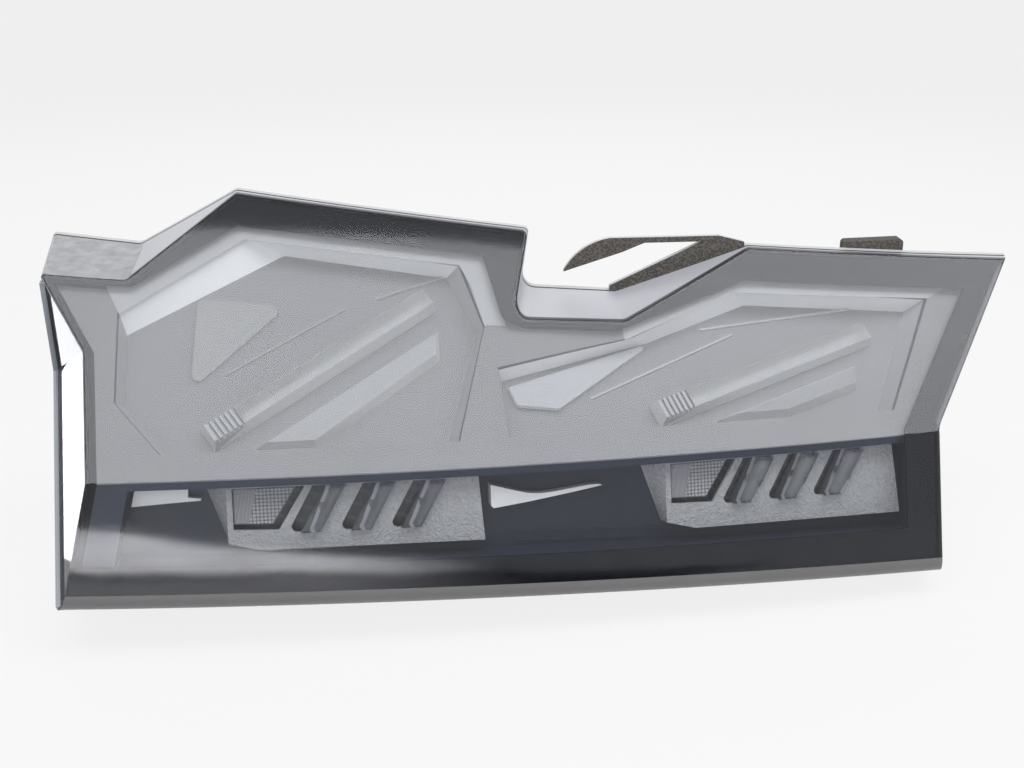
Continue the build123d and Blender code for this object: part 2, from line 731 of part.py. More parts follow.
# Fascias, claws, prisms, boards and fins of the lower tray
for side, name in enumerate(MODULE_NAMES):
    front_plane = facet_plane(MODULE_X[side], LOWER_TILT, FASCIA_INSET)
    skin_plane = front_plane.offset(-FASCIA_WALL)
    foot_plane = facet_plane(MODULE_X[side], LOWER_TILT, LOWER_TRAY_FLOOR + LOWER_TRAY_WALL)
    with BuildPart() as fascia_core:
        for plane, corners in ((skin_plane, FASCIA_FRONTS[side]), (foot_plane, FASCIA_FEET[side])):
            with BuildSketch(plane):
                with BuildLine():
                    Polyline(*corners, close=True)
                make_face()
                offset(amount=-FASCIA_WALL, kind=Kind.INTERSECTION)
        loft(ruled=True)

    with BuildPart() as fascia:
        for plane, corners in ((front_plane, FASCIA_FRONTS[side]), (foot_plane, FASCIA_FEET[side])):
            with BuildSketch(plane):
                with BuildLine():
                    Polyline(*corners, close=True)
                make_face()
        loft(ruled=True)
        add(fascia_core.part, mode=Mode.SUBTRACT)
        with BuildSketch(front_plane) as openings:
            for start in slot_starts:
                with BuildLine():
                    Polyline(*slot_corners(start, SLOT_WIDTH, 0), close=True)
                make_face()
            fillet([nearest_corner(openings, (start, SLOT_BOTTOM)) for start in slot_starts], SLOT_RADIUS)
            with BuildLine():
                Polyline(*PRISM_WINDOW, close=True)
            make_face()
        extrude(amount=-FASCIA_WALL, mode=Mode.SUBTRACT)
        add(lower_floor_form, mode=Mode.SUBTRACT)
    save(fascia, f"fascia_{name}")

    for number, start in enumerate(claw_starts, 1):
        with BuildPart() as claw:
            with BuildSketch(facet_plane(MODULE_X[side], LOWER_TILT, claw_back)):
                with BuildLine():
                    Polyline(*slot_corners(start, CLAW_WIDTH, FIT), close=True)
                make_face()
            extrude(amount=claw_back - FASCIA_INSET + CLAW_REACH)
            chamfer(claw.faces().sort_by(Axis.Y)[0].edges(), CLAW_BEVEL)
        save(claw, f"claw_{name}_{number}")

    with BuildPart() as prism:
        with BuildSketch(facet_plane(MODULE_X[side], LOWER_TILT, claw_back)):
            with BuildLine():
                Polyline(*PRISM, close=True)
            make_face()
            offset(amount=-FIT, kind=Kind.INTERSECTION)
        extrude(amount=claw_back - FASCIA_INSET - PRISM_SINK)
    save(prism, f"prism_{name}")

    with BuildPart() as claw_board:
        with BuildSketch(facet_plane(MODULE_X[side], LOWER_TILT, LOWER_TRAY_FLOOR)):
            with Locations(CLAW_BOARD_CENTRE):
                Rectangle(CLAW_BOARD_LENGTH, CLAW_BOARD_WIDTH)
        extrude(amount=BOARD)
    save(claw_board, f"claw_board_{name}")

    with BuildPart() as fin:
        with BuildSketch(facet_plane(MODULE_X[side], LOWER_TILT, FIN_INSET)):
            with BuildLine():
                Spline(*FIN_TOPS[side])
                Polyline(FIN_TOPS[side][-1], *FIN_CORNERS[side], FIN_TOPS[side][0])
            make_face()
        extrude(amount=-LOWER_TRAY_FLOOR)
        add(lower_floor_form, mode=Mode.SUBTRACT)
    save(fin, f"fin_{name}")

# Diodes behind the claws and prisms
with BuildPart() as claw_leds:
    for side in (0, 1):
        with BuildSketch(facet_plane(MODULE_X[side], LOWER_TILT, LOWER_TRAY_FLOOR - BOARD)):
            with Locations(*claw_led_points):
                Rectangle(LED_SIZE, LED_SIZE)
        extrude(amount=LED_HEIGHT)
save(claw_leds, "claw_leds")

# Driver board on the housing's posts, with its screws
with BuildPart() as driver_board:
    with BuildSketch(FRONT.offset(-board_y)):
        with Locations((SOCKET_X, SOCKET_Z)):
            Rectangle(DRIVER_LENGTH, DRIVER_WIDTH)
        with Locations(*post_points):
            Circle(SCREW_RADIUS + BORE_GAP, mode=Mode.SUBTRACT)
    extrude(amount=BOARD)
save(driver_board, "driver_board")

with BuildPart() as driver_screws:
    with BuildSketch(FRONT.offset(BOARD - board_y)):
        with Locations(*post_points):
            Circle(SCREW_HEAD)
    extrude(amount=SCREW_HEAD_HEIGHT)
    chamfer(driver_screws.faces().filter_by(Axis.Y).group_by(Axis.Y)[0].edges(), SCREW_HEAD_HEIGHT / 4)
    with BuildSketch(FRONT.offset(BOARD - board_y)):
        with Locations(*post_points):
            Circle(SCREW_RADIUS)
    extrude(amount=BORE_GAP - SCREW_LENGTH)
save(driver_screws, "driver_screws")

# Socket for the car's plug, seated on the driver board and passing through the back wall
socket_depth = SOCKET_REACH - inner_wall_y
terminal_shifts = [TERMINAL_PITCH * (i - (TERMINALS - 1) / 2) for i in range(TERMINALS)]
terminal_points = [(shift - SOCKET_X, SOCKET_Z) for shift in terminal_shifts]
with BuildPart() as connector_socket:
    with BuildSketch(REAR.offset(board_y)):
        with Locations((-SOCKET_X, SOCKET_Z)):
            Rectangle(SOCKET_LENGTH, SOCKET_HEIGHT)
    extrude(amount=SOCKET_REACH - board_y)
    with BuildSketch(REAR.offset(TUB_BACK)):
        with Locations((-SOCKET_X, SOCKET_Z)):
            RectangleRounded(SOCKET_LENGTH + 2 * SOCKET_LIP, SOCKET_HEIGHT + 2 * SOCKET_LIP, SOCKET_LIP)
    extrude(amount=SOCKET_LIP_THICKNESS)
    with BuildSketch(REAR.offset(SOCKET_REACH)):
        with Locations((-SOCKET_X, SOCKET_Z)):
            Rectangle(SOCKET_LENGTH - 2 * SOCKET_WALL, SOCKET_HEIGHT - 2 * SOCKET_WALL)
    extrude(amount=-socket_depth, mode=Mode.SUBTRACT)
    with BuildSketch(REAR.offset(board_y)):
        with Locations(*terminal_points):
            Rectangle(TERMINAL_WIDTH + 2 * BORE_GAP, TERMINAL_THICKNESS + 2 * BORE_GAP)
    extrude(amount=SOCKET_REACH - board_y, mode=Mode.SUBTRACT)
save(connector_socket, "connector_socket")

with BuildPart() as connector_terminals:
    with BuildSketch(REAR.offset(board_y)):
        with Locations(*terminal_points):
            Rectangle(TERMINAL_WIDTH, TERMINAL_THICKNESS)
    extrude(amount=POST_HEIGHT + TERMINAL_REACH)
save(connector_terminals, "connector_terminals")

# Breather cap over the vent stem
with BuildPart() as vent_cap:
    with BuildSketch(REAR.offset(TUB_BACK)):
        with Locations((-VENT_X, VENT_Z)):
            Circle(VENT_RADIUS)
    extrude(amount=VENT_HEIGHT)
    fillet(vent_cap.edges().sort_by(Axis.Y)[-1], VENT_LID)
    with BuildSketch(REAR.offset(TUB_BACK)):
        with Locations((-VENT_X, VENT_Z)):
            Circle(VENT_STEM + BORE_GAP)
    extrude(amount=VENT_HEIGHT - VENT_LID, mode=Mode.SUBTRACT)
save(vent_cap, "vent_cap")

# Foam ring that seals the socket to the body panel
with BuildPart() as body_gasket:
    with BuildSketch(REAR.offset(TUB_BACK)):
        with Locations((-SOCKET_X, SOCKET_Z)):
            RectangleRounded(GASKET_LENGTH, GASKET_HEIGHT, GASKET_RADIUS)
            RectangleRounded(
                GASKET_LENGTH - 2 * GASKET_BAND,
                GASKET_HEIGHT - 2 * GASKET_BAND,
                GASKET_RADIUS - GASKET_BAND,
                mode=Mode.SUBTRACT,
            )
    extrude(amount=-TUB_BACK)
save(body_gasket, "body_gasket")

# Steel studs with a shank in the boss and hexagon collars that seat on the body panel
with BuildPart() as body_studs:
    with BuildSketch(REAR):
        with Locations(*stud_points):
            Circle(STUD_RADIUS)
    extrude(amount=STUD_LENGTH)
    chamfer(body_studs.edges().group_by(Axis.Y)[-1], STUD_RADIUS / 4)
    with BuildSketch(REAR.offset(collar_y)):
        with Locations(*stud_points):
            RegularPolygon(STUD_COLLAR, 6)
    extrude(amount=STUD_COLLAR_HEIGHT)
    with BuildSketch(REAR.offset(collar_y)):
        with Locations(*stud_points):
            Circle(STUD_SHANK)
    extrude(amount=-STUD_GRIP)
save(body_studs, "body_studs")
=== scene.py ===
"""Looks of a wrap-round tail light: materials, fine optics, studio and camera, in metres."""

import math

import bmesh
import bpy
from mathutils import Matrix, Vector


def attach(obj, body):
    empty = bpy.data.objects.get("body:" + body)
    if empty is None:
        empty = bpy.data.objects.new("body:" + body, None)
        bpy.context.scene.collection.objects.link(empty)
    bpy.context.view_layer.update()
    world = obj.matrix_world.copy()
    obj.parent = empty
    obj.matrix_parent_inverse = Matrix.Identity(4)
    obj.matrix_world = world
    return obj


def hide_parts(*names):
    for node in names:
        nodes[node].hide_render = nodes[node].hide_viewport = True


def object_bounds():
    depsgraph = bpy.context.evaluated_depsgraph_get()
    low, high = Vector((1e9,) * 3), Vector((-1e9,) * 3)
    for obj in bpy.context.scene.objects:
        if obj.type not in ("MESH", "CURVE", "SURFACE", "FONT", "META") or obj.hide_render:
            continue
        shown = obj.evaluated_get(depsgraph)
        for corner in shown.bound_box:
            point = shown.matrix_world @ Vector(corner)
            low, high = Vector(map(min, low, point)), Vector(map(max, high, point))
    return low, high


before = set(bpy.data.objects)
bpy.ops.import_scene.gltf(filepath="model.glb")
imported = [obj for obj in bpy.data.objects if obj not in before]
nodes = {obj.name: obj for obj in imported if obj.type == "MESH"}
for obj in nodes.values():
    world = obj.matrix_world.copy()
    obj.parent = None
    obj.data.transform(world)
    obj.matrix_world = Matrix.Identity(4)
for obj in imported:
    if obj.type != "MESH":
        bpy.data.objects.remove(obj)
cad_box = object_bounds()

SIDES = ("left", "right")
UP = Vector((0, 0, 1))

# The lamp's wrapped front, as the solids have it
UPPER_TILT = math.radians(45)
WRAP_RADIUS = 2.2
WRAP_CENTRE = (-0.214, 2.051)
CREASE_Z = -0.0236

# Materials of the lens, in the order of its slots; the skirt's pale tone and dark edge, the rim and the lip
# are painted reflections
FRONT, SKIRT, LEDGE, RIM, LIP, BEAD = range(6)

# Where the lens goes over from one material to another: ends and top are places, the rest parts of a normal
SIDE_NORMALS = (Vector((-0.856, -0.425, 0.296)), Vector((-0.797, -0.601, -0.05)))
SIDE_MATCH = 0.985
SIDE_END = -0.180
WALL_FORWARD = 0.3
LEDGE_END = -0.172
LEDGE_UP = 0.9
RIM_FORWARD = 0.66
RIM_UP = 0.6
LIP_TOP = -0.06
LIP_OUTWARD = 0.7
LIP_UP = 0.215
LIP_MATCH = 0.9
BEAD_END = -0.1945
BEAD_INWARD = 0.05
BEAD_OUTWARD = 0.2
BEAD_UP = 0.8

# Materials of a tray after that of its floor, in the order of its slots: the paler ones are painted light on
# its slopes and walls
TRAY_BAND, TRAY_PAINTED_LIGHT, TRAY_PAD = range(1, 4)

# Which way the faces inside look, as parts of a normal, and the rise of the pads over a tray's floor
FRONT_LEAN = 0.3
BEZEL_UP = 0.5
REAR = 0.5
SQUARE = 0.99
SLOPE = (0.05, 0.97)
SLOPE_ASIDE = 0.6
SLOPE_DOWN = 0.3
PAD_RISE = (0.0005, 0.0035)
BAR_SIDE = 0.6
DIODE_FRONT = 0.6

# Faces of a bar smaller than this belong to its ribs, in square metres
RIB_FACE = 20e-6

# Camera
CAMERA_TARGET = Vector((0.008, -0.095, 0.0))
CAMERA_DISTANCE = 0.668
CAMERA_AZIMUTH = math.radians(-3)
CAMERA_ELEVATION = math.radians(20)
CAMERA_LENS = 49.2
SENSOR = 36.0

# Studio: soft boxes, with their radiances, and backdrop
SOFT_BOXES = {
    "top_box": {
        "place": (0.30, -0.68, 1.30),
        "aim": (0.30, -0.66, 0.0),
        "size": (2.2, 0.64),
        "radiance": 4.0,
    },
    "shoulder_box": {
        "place": (0.95, -0.19, 1.30),
        "aim": (0.95, -0.18, 0.0),
        "size": (0.9, 0.34),
        "radiance": 4.0,
    },
    "rim_box": {
        "place": (0.05, 1.30, 0.65),
        "aim": (0.05, 0.0, 0.05),
        "size": (2.2, 0.95),
        "radiance": 1.3,
    },
    "front_box": {
        "place": (-0.5, -1.7, 0.85),
        "aim": (0.0, -0.1, -0.03),
        "size": (1.2, 0.6),
        "radiance": 3.0,
    },
    "side_card": {
        "place": (-0.30, -0.01, -0.04),
        "aim": (-0.2, -0.11, -0.02),
        "size": (0.34, 0.134),
        "radiance": 4.8,
        "gloss_only": True,
    },
}
PALE = (0.855, 0.855, 0.86)
AMBIENT = 0.38

# Floor, which lies just under the lamp: its matte part and its glow go over to the far ones along FLOOR_FADE
FLOOR_DROP = 0.0005
FLOOR_HALF = 8.0
FLOOR_FADE = (0.6, 1.9)
FLOOR_MATTE = (0.1, 0.1, 0.101)
FLOOR_MATTE_FAR = (0, 0, 0)
FLOOR_GLOW = (0.83, 0.865)
FLOOR_TINT = (1, 1, 1.005)

# Cards that the lower facet mirrors: an upright sweep and an apron on the floor, both fading to the right
SWEEP_Y = -1.0
SWEEP_CARD = (
    (-0.436, -0.078),
    (-0.222, -0.081),
    (-0.088, -0.084),
    (0.049, -0.092),
    (0.221, -0.095),
    (0.120, -0.083),
    (-0.087, -0.067),
    (-0.221, -0.054),
    (-0.328, -0.040),
    (-0.436, -0.034),
)
SWEEP_GLOW = (6.0, 14.0)
APRON_CARD = ((-0.75, -1.6), (0.1, -1.6), (0.42, -0.62), (-0.3, -0.62))
APRON_LIFT = 2 * FLOOR_DROP
APRON_GLOW = (1.8, 2.8)
CARD_TINT = (1, 0.985, 0.99)
CARD_FADE = (-0.05, 0.2)

# Moulded finishes: two colours, range of roughness, grain per metre, depth of the relief and mirror share.
# Some of them are painted light and shade, as marked below
SATIN = {"roughness": (0.4, 0.5), "grain": 900.0, "depth": 0.0001, "specular": 0.3}
MOULDED = {
    "black_mask": {
        "dark": (0.014, 0.019, 0.034),
        "light": (0.02, 0.026, 0.044),
        "roughness": (0.3, 0.4),
        "grain": 60.0,
        "depth": 0.0002,
        "specular": 0.25,
    },
    "grey_mask": {
        "dark": (0.14, 0.142, 0.15),
        "light": (0.165, 0.167, 0.176),
        "roughness": (0.45, 0.6),
        "grain": 900.0,
        "depth": 0.0001,
        "specular": 0.3,
    },
    "black_border": {
        "dark": (0.008, 0.009, 0.012),
        "light": (0.013, 0.015, 0.02),
        "roughness": (0.4, 0.5),
        "grain": 60.0,
        "depth": 0.0001,
        "specular": 0.0,
    },
    "ledge": {
        "dark": (0.16, 0.163, 0.18),
        "light": (0.42, 0.425, 0.445),
        "roughness": (0.4, 0.6),
        "grain": 1400.0,
        "depth": 0.0004,
        "drift": 190.0,
    },
    # Near black rim of the clear lens: a painted dark reflection along its rounded top edge
    "rim": {
        "dark": (0.012, 0.014, 0.02),
        "light": (0.02, 0.023, 0.03),
        "roughness": (0.2, 0.3),
        "grain": 700.0,
        "depth": 0.0001,
        "specular": 0.35,
    },
    # Grey-brown lip of the clear lens: a painted reflection of the floor on its rounded lower edge and lower
    # walls
    "lip": {
        "dark": (0.13, 0.127, 0.13),
        "light": (0.17, 0.165, 0.168),
        "roughness": (0.3, 0.45),
        "grain": 700.0,
        "depth": 0.0001,
    },
    "bead": {
        "dark": (0.17, 0.185, 0.21),
        "light": (0.25, 0.27, 0.3),
        "roughness": (0.15, 0.3),
        "grain": 60.0,
        "depth": 0.0001,
    },
    "housing": {
        "dark": (0.47, 0.475, 0.485),
        "light": (0.58, 0.585, 0.59),
        "roughness": (0.5, 0.65),
        "grain": 1500.0,
        "depth": 0.0003,
    },
    "seal": {
        "dark": (0.02, 0.02, 0.022),
        "light": (0.04, 0.04, 0.043),
        "roughness": (0.6, 0.8),
        "grain": 700.0,
        "depth": 0.0003,
    },
    "tray_floor": {"dark": (0.15, 0.153, 0.163), "light": (0.175, 0.178, 0.188), **SATIN},
    # Pale band grey of the band pieces; on the trays' side slopes it is painted light, and on the bars' ribs
    # painted highlights
    "tray_band": {"dark": (0.27, 0.275, 0.29), "light": (0.33, 0.335, 0.35), **SATIN},
    # Painted light on the trays' upright walls and down-facing slopes, which lie in shade, and painted
    # highlights along the step edges
    "tray_painted_light": {"dark": (0.7, 0.705, 0.72), "light": (0.8, 0.805, 0.82), **SATIN},
    "pad_left": {"dark": (0.2, 0.203, 0.21), "light": (0.23, 0.233, 0.24), **SATIN},
    "pad_right": {"dark": (0.3, 0.305, 0.325), "light": (0.35, 0.355, 0.375), **SATIN},
    # Pale paint on the sides of bars and wedges: painted light over the shade on those sides
    "painted_light_sides": {"dark": (0.5, 0.505, 0.515), "light": (0.56, 0.565, 0.575), **SATIN},
    "bar_back": {
        "dark": (0.2, 0.203, 0.213),
        "light": (0.23, 0.233, 0.243),
        "roughness": (0.3, 0.4),
        "grain": 900.0,
        "depth": 0.0001,
        "specular": 0.3,
    },
    "fin": {
        "dark": (0.72, 0.725, 0.735),
        "light": (0.82, 0.825, 0.83),
        "roughness": (0.25, 0.35),
        "grain": 800.0,
        "depth": 0.0001,
    },
    "diode": {
        "dark": (0.55, 0.5, 0.3),
        "light": (0.66, 0.61, 0.38),
        "roughness": (0.3, 0.45),
        "grain": 1200.0,
        "depth": 0.0001,
    },
    "diode_window": {
        "dark": (0.07, 0.072, 0.078),
        "light": (0.1, 0.102, 0.108),
        "roughness": (0.3, 0.4),
        "grain": 1200.0,
        "depth": 0.0001,
    },
    "socket": {
        "dark": (0.014, 0.014, 0.015),
        "light": (0.026, 0.026, 0.028),
        "roughness": (0.45, 0.6),
        "grain": 1300.0,
        "depth": 0.0002,
    },
    "vent": {
        "dark": (0.025, 0.025, 0.026),
        "light": (0.045, 0.045, 0.047),
        "roughness": (0.6, 0.75),
        "grain": 900.0,
        "depth": 0.0003,
    },
}

# Clear guides: tint of what shines through, and share and colour of the milky body
GUIDES = {
    "light_bar": {"tint": (0.95, 0.96, 0.97), "body": 0.12, "body_colour": (0.3, 0.305, 0.32)},
    "light_guide": {"tint": (0.9, 0.92, 0.95), "body": 0.06, "body_colour": (0.6, 0.61, 0.64)},
}
PLASTIC_IOR = 1.49

# Plated metals: two colours, roughness, and the thread's pitch where there is one
PLATED = {
    "screw": {"dark": (0.5, 0.5, 0.5), "light": (0.66, 0.66, 0.65), "roughness": 0.3},
    "stud": {"dark": (0.5, 0.5, 0.48), "light": (0.68, 0.67, 0.64), "roughness": 0.3, "pitch": 0.001},
    "terminal": {"dark": (0.66, 0.52, 0.24), "light": (0.8, 0.68, 0.4), "roughness": 0.25},
}
PLATED_SPREAD = 0.08

# Fine lines on the wedges, and the length of one wave of the wave texture at scale 1
WEDGES = {
    "left": {"dark": (0.21, 0.215, 0.225), "light": (0.29, 0.295, 0.31)},
    "right": {"dark": (0.165, 0.168, 0.18), "light": (0.22, 0.224, 0.236)},
}
WEDGE_PITCH = 0.0007
WEDGE_TURN = (0, 0.6, 0)
WAVE_LENGTH = 0.31

# The lens's skirt is painted dark between these depths behind the upper facet: a painted dark reflection of
# the rounded rim
SKIRT_SHADE = (0.0028, 0.0016)

# Painted light and shade on the facets on the backs of the slanted guides: place across a guide, and
# brightness, with a painted highlight on one slender facet
FACET_LEAN = 0.45
FACET_WAVER = 0.03
FACET_PAINTED_LIGHT = ((0.0, 0.012), (0.185, 0.03), (0.21, 0.85), (0.275, 0.6), (0.295, 0.06), (0.57, 0.22))
FACET_TINT = (1, 1.02, 1.08)

# Pale bands between the border and the trays: outer and inner points, as x and z on the wrapped facet
BAND_INSET = 0.0061
BAND_THICKNESS = 0.0003
BAND_STEPS = 8
BANDS = {
    "left": (
        ((-0.1840, 0.0447), (-0.1239, 0.0673), (-0.0124, 0.0541), (-0.0046, 0.0519), (0.0059, 0.0245)),
        ((-0.1767, 0.0340), (-0.1198, 0.0620), (-0.0160, 0.0490), (-0.0109, 0.0414), (-0.0047, 0.0253)),
    ),
    "right": (
        ((0.0624, 0.0211), (0.1273, 0.0374), (0.2341, 0.0285)),
        ((0.0635, 0.0168), (0.1188, 0.0330), (0.2230, 0.0250)),
    ),
}

# Rib and pillow optics of the prisms: the ribs have the left share of the width
PRISM_COLUMNS = 132
PRISM_ROWS = 76
RIB_SHARE = 0.38
RIB_PITCH = 0.00062
RIB_RISE = 0.0004
PILLOW_PITCH = 0.0017
PILLOW_RISE = 0.0007
EDGE_STEEPNESS = 25.0
PRISM_BACK = 0.0016
PRISM_FLATNESS = 0.0001


def start(name):
    """A new material, and its node tree with nothing in it."""
    material = bpy.data.materials.new(name)
    material.use_nodes = True
    tree = material.node_tree
    tree.nodes.clear()
    return material, tree


def add(tree, kind, inputs=None, **settings):
    """A node of that kind with its settings, and values or links on its inputs."""
    node = tree.nodes.new("ShaderNode" + kind)
    for key, value in settings.items():
        setattr(node, key, value)
    for key, value in (inputs or {}).items():
        socket = node.inputs[key]
        if isinstance(value, bpy.types.NodeSocket):
            tree.links.new(value, socket)
        else:
            socket.default_value = value
    return node


def surfaced(material, shader):
    """The material, with the shader on its surface."""
    add(material.node_tree, "OutputMaterial", {"Surface": shader.outputs[0]})
    return material


def principled(material, inputs):
    """The material, with a principled surface that has those inputs."""
    return surfaced(material, add(material.node_tree, "BsdfPrincipled", inputs))


def mixed(tree, share, first, second):
    """Shader that goes from the first to the second with share."""
    return add(tree, "MixShader", {0: share, 1: first.outputs[0], 2: second.outputs[0]})


def maths(tree, operation, *values, **settings):
    """Result of an operation on values or links."""
    return add(tree, "Math", dict(enumerate(values)), operation=operation, **settings).outputs[0]


def rgba(colour):
    """A colour with full alpha."""
    return (*colour, 1.0)


def object_place(tree, stretch=(1, 1, 1), turn=(0, 0, 0)):
    """Object coordinates, stretched and turned."""
    coordinates = add(tree, "TexCoord").outputs["Object"]
    mapping = add(tree, "Mapping", {"Vector": coordinates, "Scale": stretch, "Rotation": turn})
    return mapping.outputs["Vector"]


def noise(tree, where, scale, detail=3.0):
    """Noise value at that scale per metre."""
    return add(tree, "TexNoise", {"Vector": where, "Scale": scale, "Detail": detail}).outputs["Fac"]


def between(tree, value, low, high):
    """A value from 0 to 1 carried over to low to high."""
    spread = add(tree, "MapRange", {"Value": value, "To Min": low, "To Max": high})
    return spread.outputs["Result"]


def smooth_step(tree, value, first, last):
    """0 up to first, 1 from last on, and a smooth rise between them."""
    inputs = {"Value": value, "From Min": first, "From Max": last}
    return add(tree, "MapRange", inputs, interpolation_type="SMOOTHSTEP").outputs["Result"]


def blend_colours(tree, value, dark, light):
    """Colour that runs from dark, a colour or a link, to light with value."""
    mix = add(tree, "Mix", {"Factor": value}, data_type="RGBA")
    first, second = [socket for socket in mix.inputs if socket.type == "RGBA"]
    if isinstance(dark, bpy.types.NodeSocket):
        tree.links.new(dark, first)
    else:
        first.default_value = rgba(dark)
    second.default_value = rgba(light)
    return next(out for out in mix.outputs if out.type == "RGBA")


def bump(tree, height, strength, depth):
    """Normal from a height value."""
    node = add(tree, "Bump", {"Height": height, "Strength": strength, "Distance": depth})
    return node.outputs["Normal"]


def moulded(name, dark, light, roughness, grain, depth, specular=0.5, drift=30.0):
    """Moulded plastic: colour drifts a little, and the grain shows in the gloss and the relief."""
    material, tree = start(name)
    where = object_place(tree)
    cloud = noise(tree, where, scale=drift)
    relief = noise(tree, where, scale=grain, detail=2.0)
    inputs = {
        "Base Color": blend_colours(tree, cloud, dark, light),
        "Roughness": between(tree, relief, *roughness),
        "Normal": bump(tree, relief, strength=0.6, depth=depth),
        "Specular IOR Level": specular,
    }
    return principled(material, inputs)


def clear_lens():
    """Clear polished cover: its outside alone mirrors, and light passes straight on."""
    material, tree = start("clear_lens")
    ripple = noise(tree, object_place(tree), scale=45.0, detail=1.0)
    normal = bump(tree, ripple, strength=0.02, depth=0.0005)
    outside = maths(tree, "SUBTRACT", 1.0, add(tree, "NewGeometry").outputs["Backfacing"])
    fresnel = add(tree, "Fresnel", {"IOR": PLASTIC_IOR})
    share = maths(tree, "MULTIPLY", fresnel.outputs[0], outside)
    tint = rgba((0.955, 0.965, 1.0))
    gloss = add(tree, "BsdfGlossy", {"Color": tint, "Roughness": 0.05, "Normal": normal})
    clear = add(tree, "BsdfTransparent", {"Color": rgba((0.965, 0.972, 0.98))})
    return surfaced(material, mixed(tree, share, clear, gloss))


def light_guide(name, tint, body, body_colour):
    """Clear guide: a mirror coat, some milky body with streaks along it, and the rest clear."""
    material, tree = start(name)
    streaks = noise(tree, object_place(tree, stretch=(1, 1, 0.2)), scale=220.0, detail=2.0)
    normal = bump(tree, streaks, strength=0.25, depth=0.0003)
    clear = add(tree, "BsdfTransparent", {"Color": rgba(tint)})
    milk = add(tree, "BsdfDiffuse", {"Color": rgba(body_colour), "Normal": normal})
    inside = mixed(tree, between(tree, streaks, body * 0.5, body * 1.5), clear, milk)
    gloss = add(tree, "BsdfGlossy", {"Color": rgba((1, 1, 1)), "Roughness": 0.06, "Normal": normal})
    fresnel = add(tree, "Fresnel", {"IOR": PLASTIC_IOR, "Normal": normal})
    return surfaced(material, mixed(tree, fresnel.outputs[0], inside, gloss))


def skirt_painted_sheen():
    """Satin side walls: their pale lilac tone is a painted sheen of the sky on a dark wall, and they are
    painted dark along the edge of the upper facet as a painted dark reflection of the rim.
    """
    material, tree = start("skirt")
    where = object_place(tree)
    flat = add(tree, "VectorMath", {0: where, 1: (1, 1, 0)}, operation="MULTIPLY")
    centre = (*WRAP_CENTRE, 0)
    radius = add(tree, "VectorMath", {0: flat.outputs["Vector"], 1: centre}, operation="DISTANCE")
    height = add(tree, "SeparateXYZ", {0: where}).outputs["Z"]
    reach = maths(tree, "ADD", radius.outputs["Value"], height)
    front = WRAP_RADIUS + CREASE_Z
    # Mask of the painted dark reflection along the rim
    shade = smooth_step(tree, reach, *(front - depth for depth in SKIRT_SHADE))
    cloud = noise(tree, where, scale=30.0)
    relief = noise(tree, where, scale=700.0, detail=2.0)
    # Pale lilac tone: painted sheen of the sky
    pale = blend_colours(tree, cloud, (0.4, 0.405, 0.445), (0.45, 0.455, 0.495))
    inputs = {
        "Base Color": blend_colours(tree, shade, pale, (0.03, 0.033, 0.042)),
        "Roughness": between(tree, relief, 0.35, 0.5),
        "Normal": bump(tree, relief, strength=0.3, depth=0.0001),
        "Specular IOR Level": 0.35,
    }
    return principled(material, inputs)


def crystal_back():
    """Back of a slanted guide, its facets painted with the light they catch: dark on its left, a painted
    highlight on one slender facet, and grey beyond.
    """
    material, tree = start("crystal_back")
    spot = add(tree, "SeparateXYZ", {0: add(tree, "TexCoord").outputs["Generated"]})
    where = object_place(tree, stretch=(1, 1, 0.3), turn=(0, -0.5, 0))
    cloud = noise(tree, where, scale=420.0, detail=1.0)
    lean = maths(tree, "MULTIPLY_ADD", spot.outputs["Z"], -FACET_LEAN, spot.outputs["X"])
    across = maths(tree, "MULTIPLY_ADD", cloud, FACET_WAVER, lean)
    ramp = add(tree, "ValToRGB", {"Fac": across})
    stops = ramp.color_ramp.elements
    while len(stops) < len(FACET_PAINTED_LIGHT):
        stops.new(1.0)
    # Facet levels: painted light and shade, with a painted highlight on one slender facet
    for stop, (position, level) in zip(stops, FACET_PAINTED_LIGHT):
        stop.position = position
        stop.color = rgba(level * share for share in FACET_TINT)
    inputs = {
        "Base Color": ramp.outputs["Color"],
        "Roughness": between(tree, cloud, 0.2, 0.4),
        "Normal": bump(tree, cloud, strength=0.4, depth=0.0003),
    }
    return principled(material, inputs)


def prism_optics():
    """Moulded reflector: the grooves of its relief are painted dark as painted shade, and the crowns painted
    bright as painted highlights.
    """
    material, tree = start("prism")
    relief = add(tree, "Attribute", attribute_name="relief").outputs["Fac"]
    cloud = noise(tree, object_place(tree), scale=400.0)
    inputs = {
        # Painted shade in the grooves, painted highlights on the crowns
        "Base Color": blend_colours(tree, relief, (0.09, 0.093, 0.102), (0.42, 0.425, 0.45)),
        "Roughness": between(tree, cloud, 0.15, 0.25),
        "Specular IOR Level": 0.6,
    }
    return principled(material, inputs)


def foam():
    """Open celled foam with dark pores."""
    material, tree = start("foam")
    cells = add(tree, "TexVoronoi", {"Vector": object_place(tree), "Scale": 900.0})
    pores = cells.outputs["Distance"]
    inputs = {
        "Base Color": blend_colours(tree, pores, (0.045, 0.042, 0.039), (0.17, 0.158, 0.145)),
        "Roughness": 0.95,
        "Normal": bump(tree, pores, strength=0.8, depth=0.0006),
        "Specular IOR Level": 0.15,
    }
    return principled(material, inputs)


